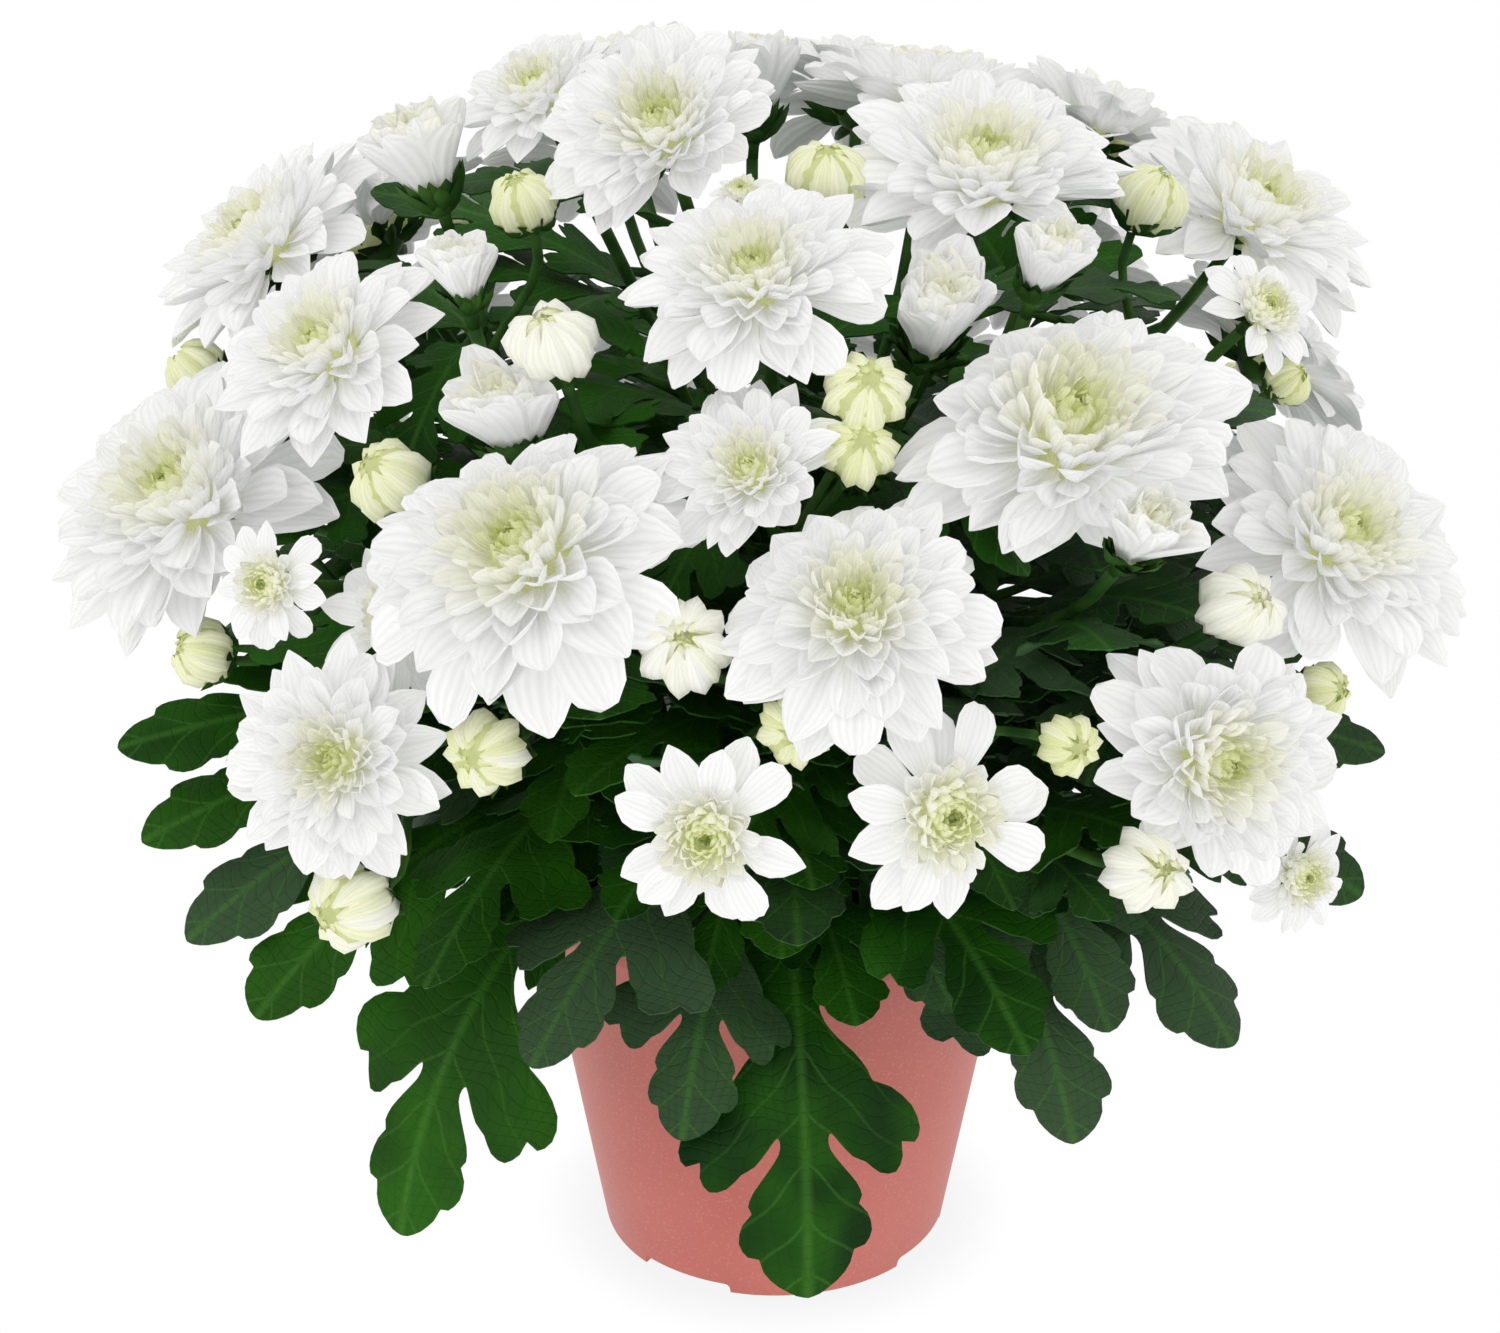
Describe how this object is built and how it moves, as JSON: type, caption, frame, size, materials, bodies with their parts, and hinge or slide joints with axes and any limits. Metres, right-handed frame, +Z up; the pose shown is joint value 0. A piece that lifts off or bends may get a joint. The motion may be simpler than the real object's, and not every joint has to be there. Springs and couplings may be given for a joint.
{
  "type": "potted chrysanthemum",
  "caption": "White double-flowered pot chrysanthemum: a dome of blooms and buds over lobed leaves, on branching stems in a round tapered plastic nursery pot.",
  "frame": {"origin": "centre of the pot's foot, on the surface that it stands on", "axes": "+Z up along the pot's axis; -Y is the front of the plant, +X is to the viewer's right"},
  "size_m": [0.3157, 0.301, 0.302],
  "materials": {
    "pot": "smooth satin terracotta-coloured plastic",
    "soil": "moist crumbly peat potting soil, plant fibre, so wood's density stands for it",
    "leaves": "dark green living leaf, slightly glossy above and dull grey-green below",
    "petals": "soft white petal, cream to yellow-green at the eye"
  },
  "bodies": {
    "root": {"bloom_back_button": "petals", "bloom_back_cup": "petals", "bloom_back_left": "petals", "bloom_back_left_low": "petals", "bloom_back_left_top": "petals", "bloom_back_low": "petals", "bloom_back_right": "petals", "bloom_back_right_low": "petals", "bloom_back_upper": "petals", "bloom_back_upper_left": "petals", "bloom_back_upper_right": "petals", "bloom_crown_back": "petals", "bloom_crown_front": "petals", "bloom_crown_left": "petals", "bloom_crown_right": "petals", "bloom_crown_small": "petals", "bloom_front": "petals", "bloom_front_bud": "petals", "bloom_front_button": "petals", "bloom_front_cup": "petals", "bloom_front_left": "petals", "bloom_front_middle": "petals", "bloom_front_star": "petals", "bloom_inner_cup": "petals", "bloom_left_back": "petals", "bloom_left_back_low": "petals", "bloom_left_behind": "petals", "bloom_left_behind_low": "petals", "bloom_left_button": "petals", "bloom_left_cup": "petals", "bloom_left_great": "petals", "bloom_left_green_bud": "petals", "bloom_left_inner_cup": "petals", "bloom_left_low": "petals", "bloom_left_top": "petals", "bloom_left_upper": "petals", "bloom_left_white_bud": "petals", "bloom_right_back": "petals", "bloom_right_back_low": "petals", "bloom_right_behind": "petals", "bloom_right_bud": "petals", "bloom_right_great": "petals", "bloom_right_low": "petals", "bloom_right_low_bud": "petals", "bloom_right_opening": "petals", "bloom_right_side": "petals", "bloom_right_small": "petals", "bloom_right_top": "petals", "bloom_right_under": "petals", "leafy_stem_back": "leaves", "leafy_stem_back_left": "leaves", "leafy_stem_back_right": "leaves", "leafy_stem_front": "leaves", "leafy_stem_front_left": "leaves", "leafy_stem_front_right": "leaves", "leafy_stem_middle": "leaves", "pot": "pot", "soil": "soil"}
  },
  "joints": []
}
